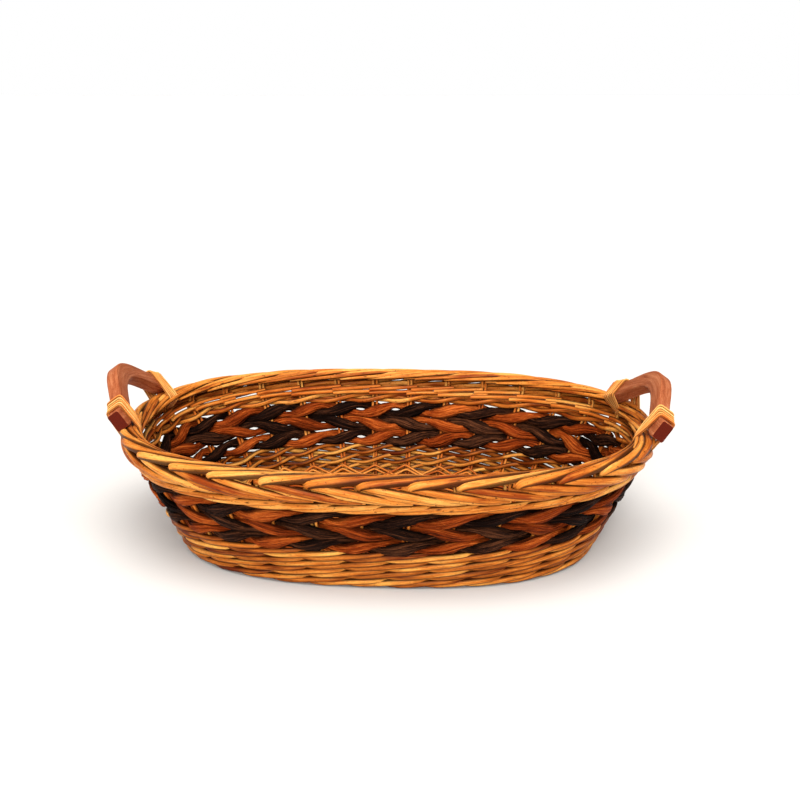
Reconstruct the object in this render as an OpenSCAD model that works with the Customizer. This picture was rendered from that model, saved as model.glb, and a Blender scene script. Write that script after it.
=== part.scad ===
// Woven oval fruit basket with two wooden bow handles.
// Millimetres. +Z up, origin at the middle of the underside, X along the length, Y along the width.
// Every ring of the wall is drawn on one family of ovals: the oval through the stakes, which grows
// with height. A place on the wall is (t, z, off): t counts stakes round the basket from the +X end,
// z is the height and off is the distance outside the stake oval.

/* [Stake oval] */
// Length between the stakes at floor level
floor_length = 293; // [270:1:310]
// Width between the stakes at floor level
floor_width = 199; // [190:1:210]
// Length between the stakes at their tops
mouth_length = 369; // [350:1:385]
// Width between the stakes at their tops
mouth_width = 262; // [250:1:270]
// Fullness of the oval at floor level, 2 is an ellipse
floor_power = 2.5; // [2.2:0.02:2.6]
// Fullness of the oval at the stake tops
mouth_power = 2.42; // [2.3:0.02:2.5]

/* [Stakes] */
// Height of the stake tops, under the border
stake_top = 78; // [77:0.5:78]
// Diameter of one stake rod
stake_d = 2.3; // [1.8:0.1:2.3]
// Gap between the two rods of a pair, centre to centre
stake_pitch = 2.6; // [2.4:0.1:2.8]

/* [Rows] */
// Height of one strand of the siding
siding_row_h = 3.55; // [3.2:0.05:3.55]
// Radial thickness of a siding strand
siding_t = 3.0; // [2.4:0.1:3.2]
// Height of one strand of the two-colour band
band_row_h = 5.45; // [5:0.05:5.45]
// Radial thickness of a strand of the two-colour band
band_t = 4.0; // [3:0.1:4.4]
// Height of one strand of the collar row
collar_row_h = 2.6; // [2.4:0.1:2.6]

/* [Border] */
// Top of the border
border_top = 91.5; // [90:0.5:92]
// Underside of the border
border_bottom = 71.4; // [71.3:0.1:71.6]
// Diameter of a rod on the outside of the border
border_rod_d = 4.4; // [4:0.1:4.6]
// Diameter of a rod on the inside of the border
inner_rod_d = 4.2; // [3.8:0.1:4.4]
// Half width of the crest roll
crest_half_w = 7.5; // [6.5:0.1:7.5]

/* [Base] */
// Thickness of the woven base
base_h = 8; // [7.6:0.1:8]
// Diameter of a base stick
base_stick_d = 2.8; // [2.2:0.1:2.8]

/* [Handles] */
// Length of a handle from end to end
handle_length = 104; // [98:1:106]
// Rise of the arch above the foot
handle_rise = 25; // [22:0.5:27]
// Depth of the bar in the plane of the arch
handle_depth = 14; // [12:0.5:14]
// Thickness of the bar
handle_thick = 10.4; // [8:0.1:10.4]
// Outward lean of the handle from upright, degrees
handle_lean = 36; // [33:1:38]
// Distance of the left handle's foot from the middle of the basket
left_foot_x = 186.8; // [186:0.2:188]
// Distance of the right handle's foot from the middle of the basket
right_foot_x = 182; // [181:0.2:183]
// Turn of the left handle, rear end inwards, degrees
left_turn = 1; // [0:0.5:3]
// Turn of the right handle, rear end inwards, degrees
right_turn = 12; // [8:0.5:13]
// How far both handles are set towards the rear
handle_y = 5; // [3:0.5:6]

/* [Bindings] */
// Width of one strand of a binding
strand_w = 2.3; // [1.8:0.1:2.4]
// Thickness of one strand of a binding
strand_t = 1.8; // [1.4:0.1:2.0]

/* [Hidden] */
STAKES = 32;               // pairs of stakes round the wall
STAKE_PHASE = 0.7;         // of the first stake, in stake spacings from the +X end
SIDING_ROWS = 4;           // each is a pair of strands
BAND_ROWS = 3;             // each is a dark strand and a red strand
BINDING_STRANDS = 5;
BORDER_REACH = 0.95;       // length of a border rod, in stake spacings
STEPS = 4;                 // outline points for each stake spacing
RING_STEPS = 2;            // the same, on the rings that don't wave
FINE = 32;                 // $fn of round rods

row_gap = 0.1;             // between rows that lie on each other
clear = 0.3;               // between a strand and the stakes it passes
seat = 0.05;               // round a base stick in the weave
siding_z = 0.6;
siding_pitch = siding_row_h + row_gap;
band_z = siding_z + 2 * SIDING_ROWS * siding_pitch + 0.3;
band_pitch = band_row_h + row_gap;
collar_z = band_z + 2 * BAND_ROWS * band_pitch + 0.3;
collar_pitch = collar_row_h + row_gap;
crest_bottom = stake_top + 0.6;
crest_middle = 0.7;        // middle of the crest roll, outside the stake oval

// Half axes and fullness of the stake oval at height z
function part_up(z, low, high) = low + (high - low) * z / stake_top;
function half_a(z) = part_up(z, floor_length, mouth_length) / 2;
function half_b(z) = part_up(z, floor_width, mouth_width) / 2;
function power_at(z) = part_up(z, floor_power, mouth_power);

// Signed power, and a point and outward normal of the oval of height z at parameter angle q
function spow(v, p) = sign(v) * pow(abs(v), p);
function oval_point(z, q) =
    let (p = 2 / power_at(z))
    [half_a(z) * spow(cos(q), p), half_b(z) * spow(sin(q), p)];
function oval_normal(z, q) =
    let (p = 2 - 2 / power_at(z),
         v = [spow(cos(q), p) / half_a(z), spow(sin(q), p) / half_b(z)])
    v / norm(v);

// Arc length along the mid-height oval against parameter angle, so that stakes stand evenly
ARC_STEPS = 360;
mid_z = stake_top / 2;
function arc_step(i) = norm(oval_point(mid_z, i * 360 / ARC_STEPS)
                            - oval_point(mid_z, (i - 1) * 360 / ARC_STEPS));
arc_table = [for (i = 0, s = 0; i <= ARC_STEPS; i = i + 1, s = s + arc_step(i))
             [s, i * 360 / ARC_STEPS]];
arc_total = arc_table[ARC_STEPS][0];
function wrap(t) = t - STAKES * floor(t / STAKES);
function angle_at(t) = lookup(wrap(t) / STAKES * arc_total, arc_table);

// A place on the wall, which is ruled by straight lines from the floor oval to the mouth oval
function wall(t, z, off) =
    let (q = angle_at(t), low = oval_point(0, q), high = oval_point(stake_top, q))
    low + (high - low) * z / stake_top + off * oval_normal(z, q);
function wall3(t, z, off) = let (p = wall(t, z, off)) [p[0], p[1], z];

// Where stake i stands
function stake_t(i) = i + STAKE_PHASE;
function stake_spacing(z) = norm(wall(stake_t(0), z, 0) - wall(stake_t(1), z, 0));

function two_digits(i) = i < 10 ? str("0", i) : str(i);
STAKE_NODES = [for (i = [1 : STAKES]) str("stake_pair_", two_digits(i))];
SIDING_NODES = [for (i = [1 : SIDING_ROWS]) str("siding_row_", i)];
DARK_NODES = [for (i = [1 : BAND_ROWS]) str("band_dark_", i)];
RED_NODES = [for (i = [1 : BAND_ROWS]) str("band_red_", i)];
SIDES = ["left", "right"];
ENDS = ["front", "rear"];

WILLOW = [0.80, 0.50, 0.20];
WILLOW_PALE = [0.88, 0.62, 0.30];
WILLOW_DARK = [0.66, 0.36, 0.13];
LEAF_DARK = [0.16, 0.10, 0.08];
LEAF_RED = [0.48, 0.19, 0.09];
HANDLE_WOOD = [0.50, 0.22, 0.13];

// A round rod from p to q
module rod(p, q, d) {
    v = q - p;
    translate(p)
        rotate([0, acos(v[2] / norm(v)), atan2(v[1], v[0])])
            cylinder(d = d, h = norm(v), $fn = FINE);
}

// One pair of stakes, from the base edge to the underside of the crest
module stake_pair(i) {
    foot = wall3(stake_t(i), siding_z, 0);
    top = wall3(stake_t(i), stake_top, 0);
    along = let (d = wall(stake_t(i) + 0.1, 0, 0) - wall(stake_t(i) - 0.1, 0, 0))
        [d[0], d[1], 0] / norm(d);
    color(WILLOW_DARK)
        for (side = [-1, 1])
            rod(foot + along * side * stake_pitch / 2,
                top + along * side * stake_pitch / 2, stake_d);
}

// How far a strand swings each way, so that it clears the leaning stakes over its height
function swing(height, thick) =
    let (lean = (mouth_length - floor_length) / (2 * stake_top))
    (stake_d + thick + lean * height) / 2 + clear;

// A flat strand that passes outside one stake and inside the next, all round the wall
module woven_ring(z, height, thick, first_out) {
    middle = z + height / 2;
    reach = swing(height, thick);
    count = STAKES * STEPS;
    function wave(k) = (first_out ? 1 : -1) * reach * cos(180 * k / STEPS);
    outer = [for (k = [0 : count - 1]) wall(stake_t(k / STEPS), middle, wave(k) + thick / 2)];
    inner = [for (k = [0 : count - 1]) wall(stake_t(k / STEPS), middle, wave(k) - thick / 2)];
    translate([0, 0, z])
        linear_extrude(height)
            difference() {
                polygon(outer);
                polygon(inner);
            }
}

// Two strands that change places at every stake
module paired_rings(z, pitch, height, thick) {
    woven_ring(z, height, thick, true);
    woven_ring(z + pitch, height, thick, false);
}

module siding_row(i) {
    color(WILLOW)
        paired_rings(siding_z + 2 * i * siding_pitch, siding_pitch, siding_row_h, siding_t);
}

module band_dark(i) {
    color(LEAF_DARK)
        woven_ring(band_z + 2 * i * band_pitch, band_row_h, band_t, true);
}

module band_red(i) {
    color(LEAF_RED)
        woven_ring(band_z + (2 * i + 1) * band_pitch, band_row_h, band_t, false);
}

module collar_row() {
    color(WILLOW_PALE)
        paired_rings(collar_z, collar_pitch, collar_row_h, siding_t);
}

// A closed ring with the section [[off, z], ...], listed so that it turns left seen along +t
module section_ring(section) {
    count = STAKES * RING_STEPS;
    n = len(section);
    points = [for (k = [0 : count - 1]) for (s = section) wall3(k / RING_STEPS, s[1], s[0])];
    faces = [for (k = [0 : count - 1]) for (j = [0 : n - 1])
             let (k2 = (k + 1) % count, j2 = (j + 1) % n)
             for (tri = [[k * n + j, k2 * n + j, k2 * n + j2], [k * n + j, k2 * n + j2, k * n + j2]])
             tri];
    polyhedron(points, faces, convexity = 8);
}

// The arches of double rods inside the foot of the wall
module foot_trac() {
    inner = -swing(siding_row_h, siding_t) - siding_t / 2;
    top = base_h + 7;
    color(WILLOW)
        section_ring([[inner - 0.5, base_h + 0.2], [inner - 3.2, base_h + 0.2],
                      [inner - 3.2, top], [inner - 0.5, top]]);
}

// Distance outside the stake oval of a crest point x mm outside the middle of the roll
function crest_off(z, x) =
    let (lean = (mouth_width - floor_width) / (2 * stake_top))
    x + crest_middle - lean * (z - stake_top);

// The roll that caps the border, with a seat for each foot of the handles
module border_crest() {
    w = crest_half_w;
    color(WILLOW_PALE)
        difference() {
            section_ring([for (s = [[-0.85, 0], [-1, 0.35], [-0.66, 0.8], [0, 1],
                                    [0.66, 0.83], [1, 0.4], [0.93, 0]])
                          let (z = crest_bottom + s[1] * (border_top - crest_bottom))
                          [crest_off(z, s[0] * w), z]]);
            for (side = [-1, 1])
                handle_bar(side, clear);
        }
}

// The rods that slant down the outside of the border, one from each stake
module border_outer_rods() {
    off = stake_d / 2 + border_rod_d / 2 + 2.6;
    high = crest_bottom - row_gap - border_rod_d / 2 - 0.7;
    low = border_bottom + border_rod_d / 2 + 0.7;
    color(WILLOW_PALE)
        for (i = [0 : STAKES - 1])
            rod(wall3(stake_t(i), high, off), wall3(stake_t(i) + BORDER_REACH, low, off), border_rod_d);
}

// The rods that lie along the inside of the border, one from each stake, one above the next
module border_inner_rods() {
    off = -stake_d / 2 - inner_rod_d / 2 - 0.6;
    high = crest_bottom - row_gap - inner_rod_d / 2 - 0.7;
    low = border_bottom + inner_rod_d / 2 + 0.7;
    color(WILLOW)
        for (i = [0 : STAKES - 1])
            rod(wall3(stake_t(i), high, off), wall3(stake_t(i) + BORDER_REACH, low, off), inner_rod_d);
}

// Base sticks: as many cross sticks and long sticks as there are stakes to meet them
LONG_STICKS = 8;
CROSS_STICKS = 8;
cross_z = 1.5 + base_stick_d / 2;
long_z = cross_z + base_stick_d + 0.2;
base_edge = -swing(siding_row_h, siding_t) - siding_t / 2 - 0.4;
stick_end = base_edge - 2;
long_pitch = base_stick_d + 0.4;
fan_x = 84;                // where the long sticks start to fan out
end_first = 0 - LONG_STICKS / 2;
side_first = STAKES / 4 - CROSS_STICKS / 2;

module cross_stick(i, d) {
    p = wall(side_first + i + 0.5, 0, stick_end);
    rod([p[0], -p[1], cross_z], [p[0], p[1], cross_z], d);
}

// A long stick is flat, and is bent sideways twice to point at its stakes
module long_stick(i, w) {
    y = (i - (LONG_STICKS - 1) / 2) * long_pitch;
    p = wall(end_first + i + 0.5, 0, stick_end);
    half = [0, w / 2];
    path = [[-p[0], p[1]], [-fan_x, y], [fan_x, y], [p[0], p[1]]];
    translate([0, 0, long_z - w / 2])
        linear_extrude(w)
            polygon(concat([for (q = path) q - half],
                           [for (k = [len(path) - 1 : -1 : 0]) path[k] + half]));
}

module base_sticks_cross() {
    color(WILLOW_DARK)
        for (i = [0 : CROSS_STICKS - 1])
            cross_stick(i, base_stick_d);
}

module base_sticks_long() {
    color(WILLOW_DARK)
        for (i = [0 : LONG_STICKS - 1])
            long_stick(i, base_stick_d);
}

// The woven base, a closed oval with a channel round each stick
module base_weave() {
    outline = [for (k = [0 : STAKES * RING_STEPS - 1]) wall(k / RING_STEPS, 0, base_edge)];
    color(WILLOW)
        difference() {
            linear_extrude(base_h) polygon(outline);
            for (i = [0 : CROSS_STICKS - 1])
                cross_stick(i, base_stick_d + 2 * seat);
            for (i = [0 : LONG_STICKS - 1])
                long_stick(i, base_stick_d + 2 * seat);
        }
}

// Handles: in the plane of the arch, u runs towards the rear and r away from the border
foot_z = 95.7;
arch_half = 0.48 * handle_length;   // where the outer edge has run down to the foot
hole_half = 0.46 * handle_length;   // where the inner edge has
function foot_x(side) = side < 0 ? left_foot_x : right_foot_x;
function turn(side) = side < 0 ? left_turn : right_turn;
function swell(u, half, power) = abs(u) >= half ? 0 : pow((1 + cos(180 * u / half)) / 2, power);
function outer_edge(u) = handle_depth / 2 + handle_rise * swell(u, arch_half, 1);
function inner_edge(u) = -handle_depth / 2 + (handle_rise - 0.5) * swell(u, hole_half, 0.8);

// The bar of a handle, with extra mm added on every side
module handle_bar(side, extra) {
    steps = 24;
    us = [for (k = [-steps : steps]) k * (handle_length / 2 + extra) / steps];
    outline = concat([for (u = us) [u, outer_edge(u) + extra]],
                     [for (k = [2 * steps : -1 : 0]) [us[k], inner_edge(us[k]) - extra]]);
    in_handle_plane(side)
        translate([0, 0, -handle_thick / 2 - extra])
            linear_extrude(handle_thick + 2 * extra)
                polygon(outline);
}

module handle(side) {
    color(HANDLE_WOOD)
        handle_bar(side, 0);
}

// Maps a drawing's x, y and height to the arch's u, r and thickness
module in_handle_plane(side) {
    mirror([side < 0 ? 1 : 0, 0, 0])
        translate([foot_x(side), handle_y, foot_z])
            rotate([0, 0, turn(side)])
                rotate([0, handle_lean, 0])
                    rotate([90, 0, 90])
                        children();
}

// Where the upright plane at y cuts the bar: r away from the border, w outwards
function section_point(side, y, r, w) =
    let (x = (r * sin(handle_lean) + w * cos(handle_lean)) / cos(turn(side)))
    [foot_x(side) + x - (y - handle_y) * tan(turn(side)),
     foot_z + r * cos(handle_lean) - w * sin(handle_lean)];

// One strand, drawn tight round the border and the foot of the handle in the upright plane at y
module binding_strand(side, y) {
    slack = 0.7;
    spread = 3;            // how far along the bar the strand's section reaches
    u = abs(y - handle_y) / cos(turn(side));
    top = outer_edge(u - spread) + slack;
    low = inner_edge(u + spread) - slack;
    half = handle_thick / 2 + slack;
    t = abs(y) / stake_spacing(stake_top);
    rim = [[border_bottom - strand_t - 0.3, -7.5], [border_bottom - strand_t - 0.3, 7.8],
           [72.5, 9.6], [crest_bottom, 9.8], [84, crest_off(84, crest_half_w + 1.4)],
           [84, crest_off(84, -crest_half_w - 1.2)], [crest_bottom, -crest_half_w - 1.6]];
    path = concat([for (p = rim) [wall(t, p[0], p[1])[0], p[0]]],
                  [for (r = [low, top]) for (w = [-half, half]) section_point(side, y, r, w)]);
    rotate([90, 0, 0])
        translate([0, 0, -strand_w / 2])
            linear_extrude(strand_w)
                difference() {
                    offset(delta = strand_t)
                        drawn_round(path);
                    drawn_round(path);
                }
}

// The convex outline round some points
module drawn_round(points) {
    hull()
        for (p = points)
            translate(p)
                square(row_gap, center = true);
}

// The binding round one foot, its strands side by side
BINDING_INSET = 12;        // of the middle of a binding from the end of the handle
module binding(side, end) {
    pitch = strand_w + 0.1;
    middle = handle_y + end * (handle_length / 2 - BINDING_INSET) * cos(turn(side));
    color(WILLOW_PALE)
        mirror([side < 0 ? 1 : 0, 0, 0])
            for (k = [0 : BINDING_STRANDS - 1]) {
                y = middle + (k - (BINDING_STRANDS - 1) / 2) * pitch;
                translate([0, y, 0])
                    binding_strand(side, y);
            }
}

base_weave();
base_sticks_long();
base_sticks_cross();
foot_trac();
for (i = [0 : STAKES - 1])
    stake_pair(i);
for (i = [0 : SIDING_ROWS - 1])
    siding_row(i);
for (i = [0 : BAND_ROWS - 1]) {
    band_dark(i);
    band_red(i);
}
collar_row();
border_crest();
border_outer_rods();
border_inner_rods();
handle(-1);  // handle_left
handle(1);  // handle_right
binding(-1, -1);  // binding_left_front
binding(-1, 1);  // binding_left_rear
binding(1, -1);  // binding_right_front
binding(1, 1);  // binding_right_rear
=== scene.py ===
import math

import bpy
import numpy as np
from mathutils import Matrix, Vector


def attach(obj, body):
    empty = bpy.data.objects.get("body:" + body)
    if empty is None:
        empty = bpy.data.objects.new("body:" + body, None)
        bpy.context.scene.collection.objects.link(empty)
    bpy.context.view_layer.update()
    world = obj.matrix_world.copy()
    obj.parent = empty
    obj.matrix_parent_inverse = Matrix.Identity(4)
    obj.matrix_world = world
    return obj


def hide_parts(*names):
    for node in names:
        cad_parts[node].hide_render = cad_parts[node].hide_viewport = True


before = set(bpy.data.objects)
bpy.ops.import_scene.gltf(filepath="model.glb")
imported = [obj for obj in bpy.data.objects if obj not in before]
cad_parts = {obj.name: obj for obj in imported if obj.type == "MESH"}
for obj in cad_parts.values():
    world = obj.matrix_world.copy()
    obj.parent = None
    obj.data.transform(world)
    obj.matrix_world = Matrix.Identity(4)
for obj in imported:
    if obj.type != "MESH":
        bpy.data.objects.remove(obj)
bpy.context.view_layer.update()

BODY = "root"
MM = 0.001
UP = np.array([0, 0, 1.0])

# ---------------------------------------------------------------------------
# The wall, in the same terms as the CAD model (millimetres, t in stake spacings)
# ---------------------------------------------------------------------------
FLOOR_LENGTH, FLOOR_WIDTH, FLOOR_POWER = 293.0, 199.0, 2.5
MOUTH_LENGTH, MOUTH_WIDTH, MOUTH_POWER = 369.0, 262.0, 2.42
STAKE_TOP = 78.0
STAKES = 32
STAKE_PHASE = 0.7
ARC_STEPS = 1440


def part_up(z, low, high):
    return low + (high - low) * z / STAKE_TOP


def signed_power(v, p):
    return np.sign(v) * np.abs(v) ** p


def superellipse(a, b, power, q):
    x = a * signed_power(np.cos(q), 2 / power)
    y = b * signed_power(np.sin(q), 2 / power)
    return np.stack([x, y], -1)


def oval_point(z, q):
    return superellipse(part_up(z, FLOOR_LENGTH, MOUTH_LENGTH) / 2, part_up(z, FLOOR_WIDTH, MOUTH_WIDTH) / 2,
                        part_up(z, FLOOR_POWER, MOUTH_POWER), q)


def oval_normal(z, q):
    p = 2 - 2 / part_up(z, FLOOR_POWER, MOUTH_POWER)
    v = np.stack([signed_power(np.cos(q), p) / part_up(z, FLOOR_LENGTH, MOUTH_LENGTH),
                  signed_power(np.sin(q), p) / part_up(z, FLOOR_WIDTH, MOUTH_WIDTH)], -1)
    return v / np.linalg.norm(v, axis=-1, keepdims=True)


def distances(points):
    """Distance from the first point to each point, along the line through them."""
    return np.concatenate([[0], np.cumsum(np.linalg.norm(np.diff(points, axis=0), axis=1))])


ARC_Q = np.linspace(0, 2 * math.pi, ARC_STEPS + 1)
ARC_S = distances(oval_point(STAKE_TOP / 2, ARC_Q))
ARC_SPACING = ARC_S[-1] / STAKES


def angle_at(t):
    return np.interp(np.mod(t, STAKES) * ARC_SPACING, ARC_S, ARC_Q)


def normal_at(t, z):
    """Horizontal outward normal of the wall, as 3-vectors."""
    t, z = np.broadcast_arrays(np.asarray(t, float), np.asarray(z, float))
    n = oval_normal(z, angle_at(t))
    return np.concatenate([n, np.zeros(n.shape[:-1] + (1,))], -1)


def wall(t, z, off):
    """Points off mm outside the wall through the middle of the stakes."""
    t, z, off = np.broadcast_arrays(*(np.asarray(v, float) for v in (t, z, off)))
    q = angle_at(t)
    low, high = oval_point(np.zeros_like(q), q), oval_point(np.full_like(q, STAKE_TOP), q)
    flat = low + (high - low) * (z / STAKE_TOP)[..., None] + off[..., None] * oval_normal(z, q)
    return np.concatenate([flat, z[..., None]], -1)


RIM_LEAN = (MOUTH_WIDTH - FLOOR_WIDTH) / (2 * STAKE_TOP)


def rim_off(z, x):
    """How far outside the wall a point x mm outside the mouth oval is, at heights above STAKE_TOP."""
    return x - RIM_LEAN * np.maximum(np.asarray(z, float) - STAKE_TOP, 0)


def spacing_at(t, z):
    return float(np.linalg.norm(wall(t + 0.5, z, 0) - wall(t - 0.5, z, 0)))


# ---------------------------------------------------------------------------
# Curves and noise
# ---------------------------------------------------------------------------
NOISE_CELLS = 1024


def unit(v):
    return v / np.maximum(np.linalg.norm(v, axis=-1, keepdims=True), 1e-9)


def smoothstep(x):
    x = np.clip(x, 0, 1)
    return x * x * (3 - 2 * x)


def seeded(seed):
    return np.random.RandomState(abs(int(seed)))


def smooth_noise(x, seed, period=1.0):
    """Smooth 1-D value noise between -1 and 1."""
    values = seeded(seed).uniform(-1, 1, NOISE_CELLS)
    x = np.asarray(x, float) / period
    cell = np.floor(x).astype(int)
    f = smoothstep(x - cell)
    return values[cell % NOISE_CELLS] * (1 - f) + values[(cell + 1) % NOISE_CELLS] * f


def smooth_path(points, per_segment):
    """Catmull-Rom curve through control points given as rows."""
    p = np.asarray(points, float)
    p = np.vstack([2 * p[0] - p[1], p, 2 * p[-1] - p[-2]])
    u = np.linspace(0, 1, per_segment, endpoint=False)[:, None]
    out = []
    for a, b, c, d in zip(p, p[1:], p[2:], p[3:]):
        out.append(0.5 * (2 * b + (c - a) * u + (2 * a - 5 * b + 4 * c - d) * u ** 2
                          + (3 * b - a - 3 * c + d) * u ** 3))
    out.append(p[-2][None])
    return np.vstack(out)


def wall_path(points, per_segment, t0):
    """A smooth path through rows of (t, z, off), counted from t0, and the wall's normal along it."""
    p = smooth_path(points, per_segment)
    return wall(t0 + p[:, 0], p[:, 1], p[:, 2]), normal_at(t0 + p[:, 0], p[:, 1])


# ---------------------------------------------------------------------------
# Pieces: tubes along paths, gathered into one mesh a piece
# ---------------------------------------------------------------------------
SEED_RANGE = 1 << 30
# A tube's size wobbles along it, but not in the last steps of a closed one, where it meets its start
WOBBLE_PERIOD = 14.0
CLOSING_STEPS = 12.0
GRAIN_SHIFT = 4000
ROD_SHARP = 55


def tube_faces(base, rings, sides, closed):
    i = np.arange(rings if closed else rings - 1)[:, None]
    j = np.arange(sides)[None]
    i2, j2 = (i + 1) % rings, (j + 1) % sides
    corners = [base + a * sides + b for a, b in ((i, j), (i, j2), (i2, j2), (i2, j))]
    return np.stack(corners, -1).reshape(-1, 4).tolist()


def new_mesh(name, verts, faces, values, sharp):
    """A smooth mesh of verts in mm; its points carry the values that the materials read."""
    mesh = bpy.data.meshes.new(name)
    mesh.from_pydata((verts * MM).tolist(), [], faces)
    for key, value in values.items():
        kind, field = ("FLOAT_VECTOR", "vector") if value.ndim == 2 else ("FLOAT", "value")
        mesh.attributes.new(key, kind, "POINT").data.foreach_set(field, value.ravel())
    mesh.polygons.foreach_set("use_smooth", [True] * len(mesh.polygons))
    mesh.set_sharp_from_angle(angle=math.radians(sharp))
    mesh.update()
    return mesh


def finish_piece(mesh, name, nodes, material):
    piece = bpy.data.objects.new(name, mesh)
    bpy.context.scene.collection.objects.link(piece)
    mesh.materials.append(material)
    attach(piece, BODY)
    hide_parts(*nodes)


class Rods:
    """The tubes of one piece."""

    def __init__(self, name, slot, nodes, material, seed):
        self.name, self.slot, self.nodes, self.material = name, slot, nodes, material
        self.rng = np.random.RandomState(seed)
        self.verts, self.faces, self.grain, self.tone, self.edge = [], [], [], [], []
        self.count = 0

    def add(self, path, out, thick, height, sides, closed=False, tone=None, lumps=None, wobble=0.04):
        """A tube along path. out is the direction of its thickness; height is its size across both."""
        n = len(path)
        if closed:
            tangent = unit(np.roll(path, -1, 0) - np.roll(path, 1, 0))
        else:
            tangent = unit(np.gradient(path, axis=0))
        along = distances(path)
        side = unit(np.cross(tangent, np.broadcast_to(out, path.shape)))
        outward = np.cross(side, tangent)
        shape = wobble * smooth_noise(along, self.rng.randint(SEED_RANGE), WOBBLE_PERIOD)
        if closed:
            shape = shape * np.minimum(1, np.arange(n)[::-1] / CLOSING_STEPS)
        thick, height = thick * (1 + shape), height * (1 + shape)
        angle = np.linspace(0, 2 * math.pi, sides, endpoint=False)
        ring = np.ones((n, sides)) if lumps is None else lumps(along, angle)
        u = ring * (thick[:, None] / 2) * np.cos(angle)
        v = ring * (height[:, None] / 2) * np.sin(angle)
        points = path[:, None] + outward[:, None] * u[..., None] + side[:, None] * v[..., None]
        shift = self.rng.uniform(0, GRAIN_SHIFT)
        grain = np.stack([np.broadcast_to(along[:, None] + shift, u.shape), u, v], -1)
        if tone is None:
            tone = self.rng.uniform(0, 1)
        self.verts.append(points.reshape(-1, 3))
        self.grain.append(grain.reshape(-1, 3))
        self.tone.append(np.broadcast_to(np.reshape(tone, (-1, 1)), u.shape).reshape(-1))
        self.edge.append(np.broadcast_to(np.abs(np.sin(angle)), u.shape).reshape(-1))
        self.faces.extend(tube_faces(self.count, n, sides, closed))
        if not closed:
            self.faces.append([self.count + k for k in range(sides)][::-1])
            self.faces.append([self.count + (n - 1) * sides + k for k in range(sides)])
        self.count += n * sides

    def build(self):
        values = {"grain": np.vstack(self.grain), "tone": np.concatenate(self.tone),
                  "edge": np.concatenate(self.edge)}
        mesh = new_mesh(self.name, np.vstack(self.verts), self.faces, values, ROD_SHARP)
        finish_piece(mesh, self.name, self.nodes, self.material)


# ---------------------------------------------------------------------------
# Materials
# ---------------------------------------------------------------------------
def srgb(r, g, b):
    """Linear colour of an sRGB colour given as 0 to 255."""
    return [((v / 255 + 0.055) / 1.055) ** 2.4 if v > 10 else v / 255 / 12.92 for v in (r, g, b)] + [1.0]


class Shader:
    """A small builder of node materials."""

    def __init__(self, name):
        self.material = bpy.data.materials.new(name)
        self.material.use_nodes = True
        self.tree = self.material.node_tree
        self.bsdf = self.tree.nodes["Principled BSDF"]

    def node(self, kind, **values):
        n = self.tree.nodes.new(kind)
        for key, value in values.items():
            setattr(n, key, value)
        return n

    def feed(self, socket, value):
        """Set a socket to a plain value, or link it to another node's output."""
        if isinstance(value, (int, float, list, tuple)):
            socket.default_value = value
        else:
            self.tree.links.new(value, socket)

    def feed_all(self, node, values):
        for key, value in values.items():
            self.feed(node.inputs[key], value)

    def surface(self, values):
        """Values of the shader's own sockets."""
        self.feed_all(self.bsdf, values)

    def attribute(self, name, output):
        return self.node("ShaderNodeAttribute", attribute_name=name).outputs[output]

    def ramp(self, fac, places, colours):
        n = self.node("ShaderNodeValToRGB")
        self.feed(n.inputs["Fac"], fac)
        ramp = n.color_ramp
        while len(ramp.elements) < len(places):
            ramp.elements.new(0.5)
        for element, place, colour in zip(ramp.elements, places, colours):
            element.position = place
            element.color = srgb(*colour)
        return n.outputs["Color"]

    def math(self, operation, a, b, clamp=False):
        n = self.node("ShaderNodeMath", operation=operation, use_clamp=clamp)
        self.feed_all(n, {0: a, 1: b})
        return n.outputs[0]

    def weighted(self, weights, *values):
        parts = [self.math("MULTIPLY", value, weight) for value, weight in zip(values, weights)]
        total = parts[0]
        for part in parts[1:]:
            total = self.math("ADD", total, part)
        return total

    def map(self, value, low, high, to_low=0.0, to_high=1.0):
        n = self.node("ShaderNodeMapRange")
        self.feed_all(n, {"Value": value, "From Min": low, "From Max": high, "To Min": to_low,
                          "To Max": to_high})
        return n.outputs["Result"]

    def mix(self, fac, a, b):
        n = self.node("ShaderNodeMix", data_type="RGBA")
        self.feed_all(n, {0: fac, 6: a, 7: b})
        return n.outputs[2]

    def bump(self, height, strength, distance):
        n = self.node("ShaderNodeBump")
        self.feed_all(n, {"Strength": strength, "Distance": distance, "Height": height})
        self.surface({"Normal": n.outputs["Normal"]})


class GrainShader(Shader):
    """A material that follows the grain stored on the piece: mm along the rod, then mm across it."""

    def __init__(self, name):
        super().__init__(name)
        self.grain = self.attribute("grain", "Vector")

    def scaled(self, along, across):
        n = self.node("ShaderNodeVectorMath", operation="MULTIPLY")
        self.feed_all(n, {0: self.grain, 1: (along, across, across)})
        return n.outputs[0]

    def noise(self, along, across, detail=3.0, roughness=0.55, distortion=0.0):
        """Noise with along and across features per mm."""
        n = self.node("ShaderNodeTexNoise")
        self.feed_all(n, {"Vector": self.scaled(along, across), "Scale": 1.0, "Detail": detail,
                          "Roughness": roughness, "Distortion": distortion})
        return n.outputs["Fac"]

    def cells(self, along, across):
        """Distance to the nearest of scattered points, with along and across points per mm."""
        n = self.node("ShaderNodeTexVoronoi", feature="F1")
        self.feed_all(n, {"Vector": self.scaled(along, across), "Scale": 1.0})
        return n.outputs["Distance"]


# Noise nodes give values round 0.5; these are the spans that get stretched to 0 to 1
SPAN = (0.3, 0.7)
NARROW_SPAN = (0.34, 0.66)

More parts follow.
